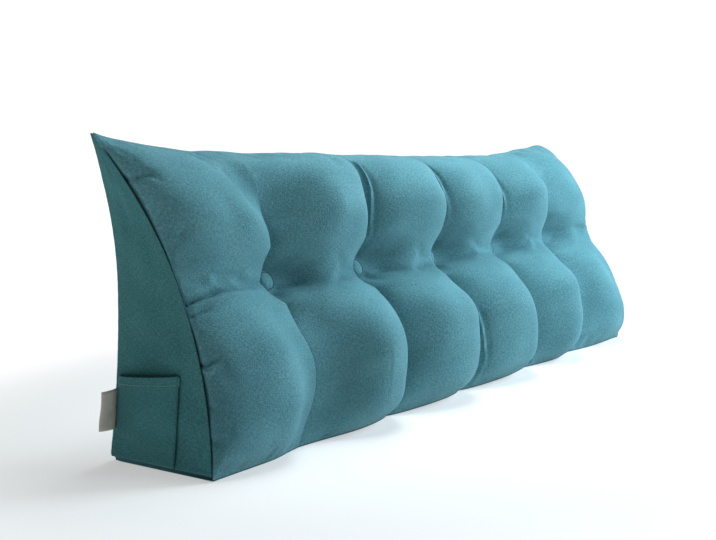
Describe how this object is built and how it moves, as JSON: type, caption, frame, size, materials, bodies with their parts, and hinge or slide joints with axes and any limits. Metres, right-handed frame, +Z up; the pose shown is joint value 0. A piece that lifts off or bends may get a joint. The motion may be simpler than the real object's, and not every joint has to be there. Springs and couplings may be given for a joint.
{
  "type": "wedge headboard pillow",
  "caption": "Long wedge-shaped back pillow with a deep tufted front, ear corners, covered buttons and a patch pocket on one side.",
  "frame": {"origin": "middle of the base, on the surface the pillow stands on: half way between its ends, 0.1 m in front of the back's foot", "axes": "+X along the length, towards the end without the pocket; the tufted front faces -Y; +Z up"},
  "size_m": [1.538, 0.2836, 0.4758],
  "materials": {
    "front_cloth": "heathered teal chenille with a soft nap",
    "panel_cloth": "the same chenille, seen on the plain panels",
    "label_tape": "bare woven beige tape"
  },
  "bodies": {
    "root": {"filled_front": "front_cloth", "back_panel": "panel_cloth", "base_panel": "panel_cloth", "side_panel_left": "panel_cloth", "side_panel_right": "panel_cloth", "pocket": "panel_cloth", "button_1": "front_cloth", "button_2": "front_cloth", "button_3": "front_cloth", "button_4": "front_cloth", "button_5": "front_cloth", "label": "label_tape"}
  },
  "joints": []
}
